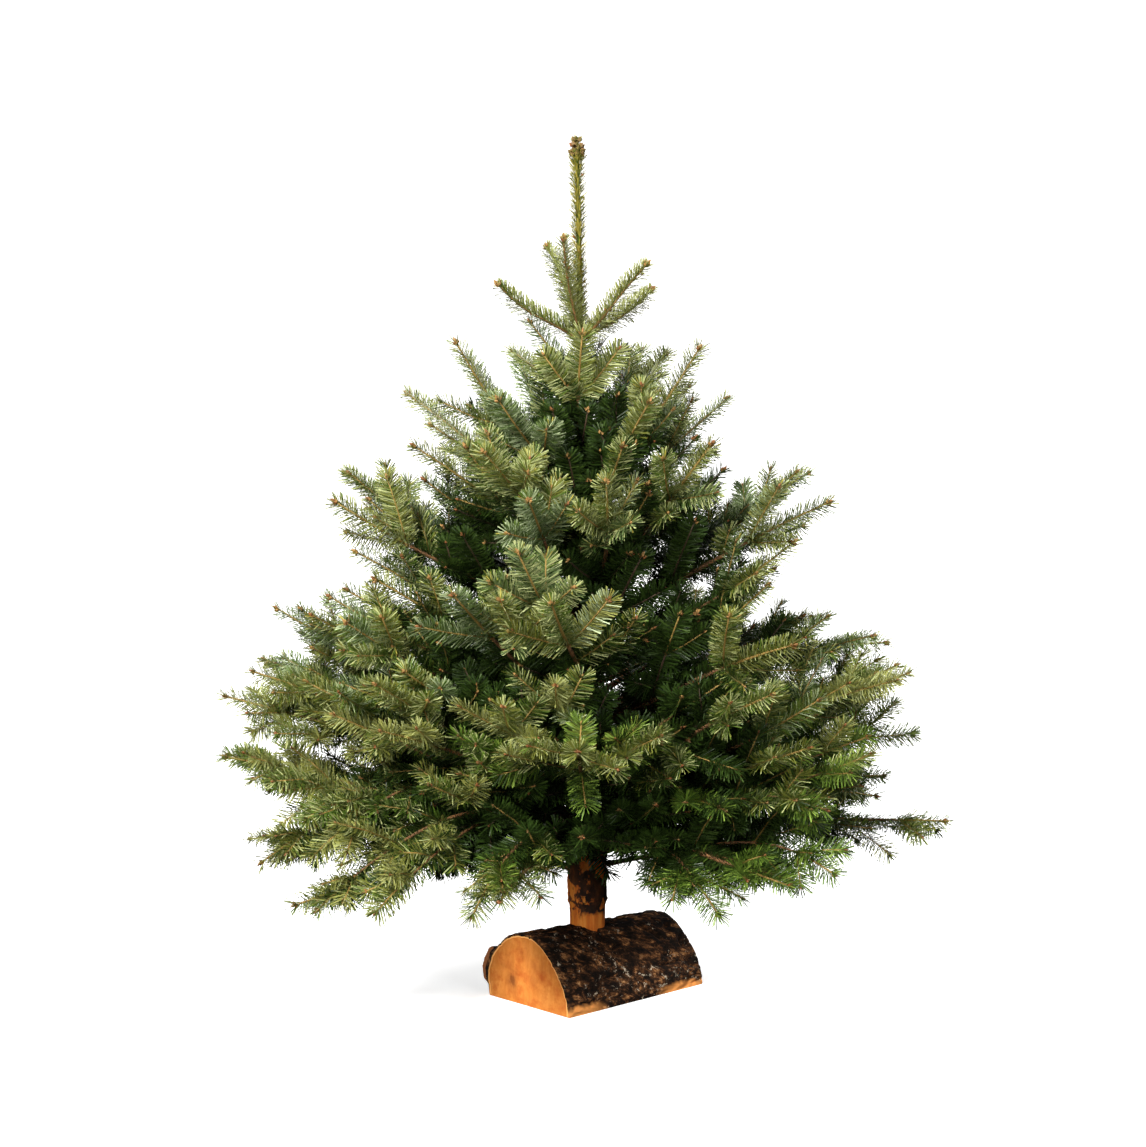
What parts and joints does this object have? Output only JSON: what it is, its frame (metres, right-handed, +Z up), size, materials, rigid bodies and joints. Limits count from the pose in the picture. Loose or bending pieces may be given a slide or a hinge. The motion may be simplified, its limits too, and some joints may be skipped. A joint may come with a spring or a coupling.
{
  "type": "cut fir christmas tree in a half-log stand",
  "caption": "Cut fir tree with whorled boughs of flat needle foliage, a bare trunk foot and a slender leader, seated in a flat-based half-log stand.",
  "frame": {"origin": "middle of the half-log stand's flat sawn underside, on the surface the tree stands on", "axes": "+Z up along the trunk to the leader's tip, +X to the tree's right as first seen, +Y to its back"},
  "size_m": [1.0316, 0.8498, 1.25],
  "materials": {
    "stand_wood": "rough dark bark, with sawn orange-tan end grain",
    "trunk_bark": "thin brown bark, whittled to orange wood at the foot",
    "limb_bark": "smooth orange-brown young bark",
    "upper_needles": "satin grey-green needles with pale undersides",
    "lower_needles": "satin mid-green needles with paler undersides",
    "leader_needles": "short yellow-green needles pressed along the leader"
  },
  "bodies": {
    "root": {"stand_log": "stand_wood", "trunk": "trunk_bark", "foliage_leader": "leader_needles", "bough_whorl2_right_front": "limb_bark", "bough_whorl3_right": "limb_bark", "bough_whorl3_front": "limb_bark", "bough_whorl4_right": "limb_bark", "bough_whorl4_left_front": "limb_bark", "bough_whorl5_left": "limb_bark", "bough_whorl5_right_front": "limb_bark", "bough_whorl6_right": "limb_bark", "bough_whorl6_left_back": "limb_bark", "bough_whorl6_right_front": "limb_bark", "foliage_whorl1_left": "upper_needles", "foliage_whorl1_front": "upper_needles", "foliage_whorl1_back": "upper_needles", "foliage_whorl1_right": "upper_needles", "foliage_whorl1_right_back": "upper_needles", "foliage_whorl2_right_front": "upper_needles", "foliage_whorl2_right": "upper_needles", "foliage_whorl2_right_back": "upper_needles", "foliage_whorl2_back": "upper_needles", "foliage_whorl2_left_back": "upper_needles", "foliage_whorl2_left_front": "upper_needles", "foliage_whorl2_front": "upper_needles", "foliage_whorl3_right": "upper_needles", "foliage_whorl3_right_back": "upper_needles", "foliage_whorl3_back_right": "upper_needles", "foliage_whorl3_back_left": "upper_needles", "foliage_whorl3_left_back": "upper_needles", "foliage_whorl3_left": "upper_needles", "foliage_whorl3_left_front": "upper_needles", "foliage_whorl3_front": "upper_needles", "foliage_whorl3_right_front": "upper_needles", "foliage_whorl4_right": "lower_needles", "foliage_whorl4_back_right": "lower_needles", "foliage_whorl4_back": "lower_needles", "foliage_whorl4_back_left": "lower_needles", "foliage_whorl4_left": "lower_needles", "foliage_whorl4_left_front": "lower_needles", "foliage_whorl4_front": "lower_needles", "foliage_whorl4_right_front": "lower_needles", "foliage_whorl5_right": "lower_needles", "foliage_whorl5_right_back": "lower_needles", "foliage_whorl5_back_right": "lower_needles", "foliage_whorl5_back": "lower_needles", "foliage_whorl5_left_back": "lower_needles", "foliage_whorl5_left": "lower_needles", "foliage_whorl5_left_front": "lower_needles", "foliage_whorl5_front": "lower_needles", "foliage_whorl5_right_front": "lower_needles", "foliage_whorl6_right": "lower_needles", "foliage_whorl6_right_back": "lower_needles", "foliage_whorl6_back_right": "lower_needles", "foliage_whorl6_back_left": "lower_needles", "foliage_whorl6_left_back": "lower_needles", "foliage_whorl6_left": "lower_needles", "foliage_whorl6_left_front": "lower_needles", "foliage_whorl6_front": "lower_needles", "foliage_whorl6_right_front": "lower_needles"}
  },
  "joints": []
}
